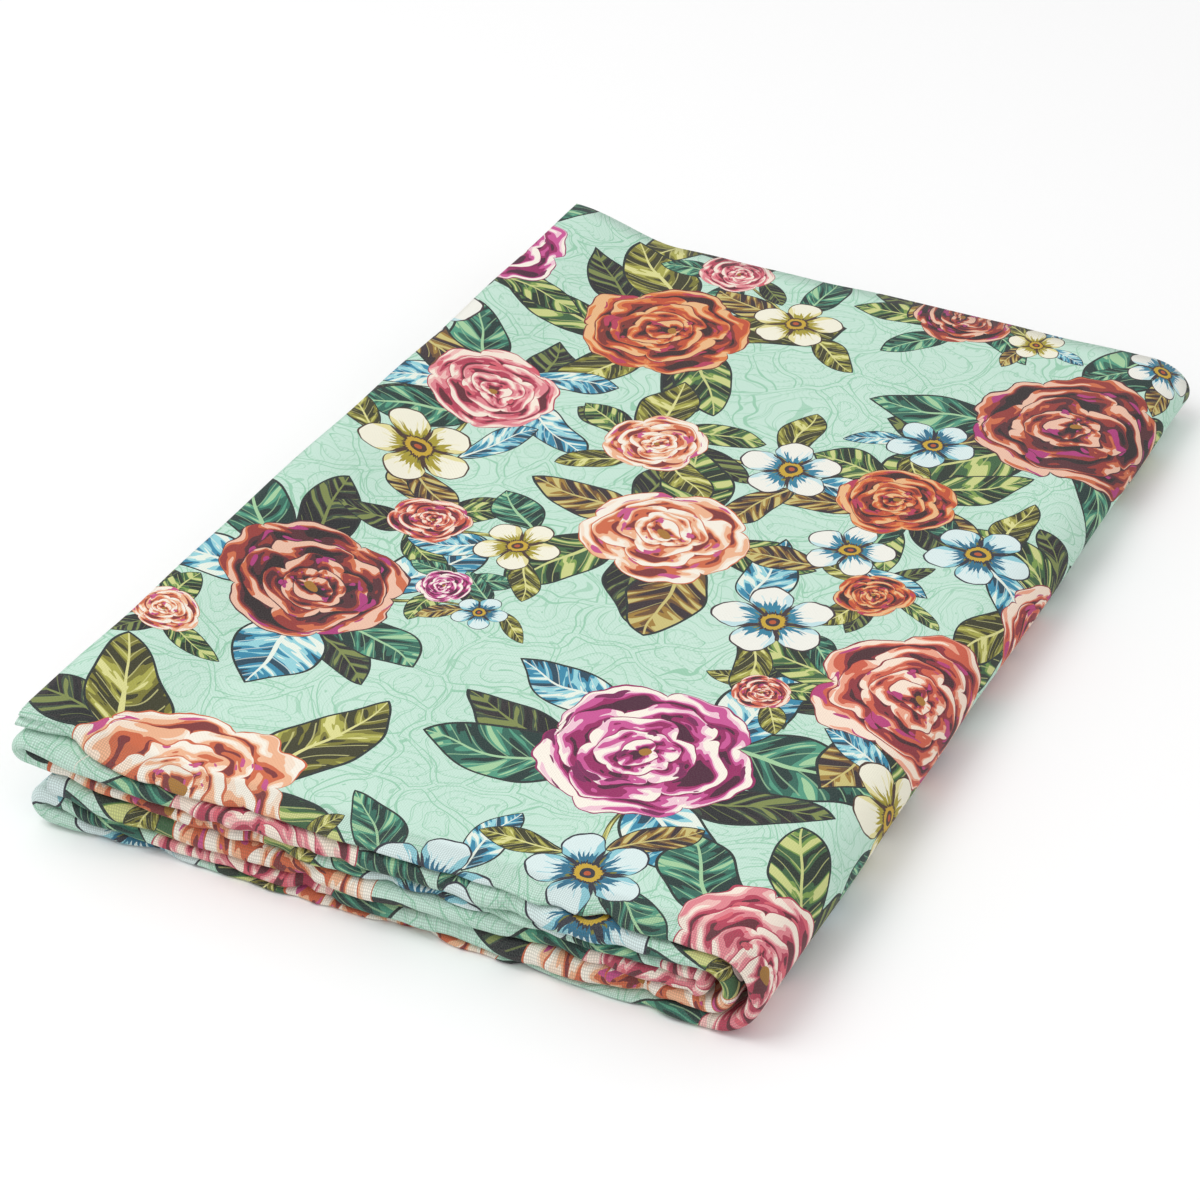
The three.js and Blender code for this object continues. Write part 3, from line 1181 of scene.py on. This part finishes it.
def build_thread():
    """The end of a thread that hangs at the front fold."""
    curve = bpy.data.curves.new("loose_thread", "CURVE")
    curve.dimensions = "3D"
    curve.bevel_depth = THREAD_RADIUS * METRES
    curve.bevel_resolution = 2
    curve.use_fill_caps = True
    spline = curve.splines.new("NURBS")
    spline.points.add(len(THREAD_PATH) - 1)
    for point, place in zip(spline.points, THREAD_PATH):
        point.co = (*[value * METRES for value in place], 1)
    spline.use_endpoint_u = True
    mesh = bpy.data.meshes.new_from_object(bpy.data.objects.new("thread_curve", curve))
    mesh.materials.clear()
    mesh.materials.append(thread_cotton())
    piece = add_object("loose_thread", mesh)
    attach(piece, "folded_stack")


# ---- floor, light and camera, in metres

FLOOR_SIZE, FLOOR_DROP = 8, 0.0002  # the drop keeps the floor clear of the cloth

# Name, place, size and power of each light
LIGHTS = [
    ("key", (-0.7, -0.5, 1.6), 1.2, 14),
    ("fill", (0.9, -1.0, 1.0), 1.5, 2),
]
DAYLIGHT = 0.75

CAMERA_PLACE = (0.4065, -0.8810, 0.6635)
CAMERA_AIM = (-0.013, -0.012, 0.005)
CAMERA_LENS = 114.7
SENSOR_WIDTH = 36
NEAREST_SEEN = 0.05


def build_floor():
    bpy.ops.mesh.primitive_plane_add(size=FLOOR_SIZE, location=(0, 0, -FLOOR_DROP))
    floor = bpy.context.object
    floor.name = "floor"
    material, _, shader = new_material("pale_floor")
    shader.inputs["Base Color"].default_value = (0.93, 0.93, 0.93, 1)
    shader.inputs["Roughness"].default_value = 0.9
    floor.data.materials.append(material)


def build_light():
    world = bpy.data.worlds.new("studio")
    world.use_nodes = True
    background = world.node_tree.nodes["Background"]
    background.inputs["Color"].default_value = (1, 1, 1, 1)
    background.inputs["Strength"].default_value = DAYLIGHT
    bpy.context.scene.world = world
    for name, place, size, power in LIGHTS:
        light = bpy.data.lights.new(name, "AREA")
        light.size = size
        light.energy = power
        lamp = add_object(name, light)
        lamp.location = place
        lamp.rotation_euler = Vector(place).to_track_quat("Z", "Y").to_euler()


def build_camera():
    camera = add_object("camera", bpy.data.cameras.new("camera"))
    camera.data.lens = CAMERA_LENS
    camera.data.sensor_width = SENSOR_WIDTH
    camera.data.clip_start = NEAREST_SEEN
    camera.location = CAMERA_PLACE
    looks_at = Vector(CAMERA_AIM)
    camera.rotation_euler = (looks_at - camera.location).to_track_quat("-Z", "Y").to_euler()
    bpy.context.scene.camera = camera
    bpy.context.scene.view_settings.view_transform = "Standard"


build_floor()
build_light()
build_camera()
attach_cloth(build_cloth())
build_thread()
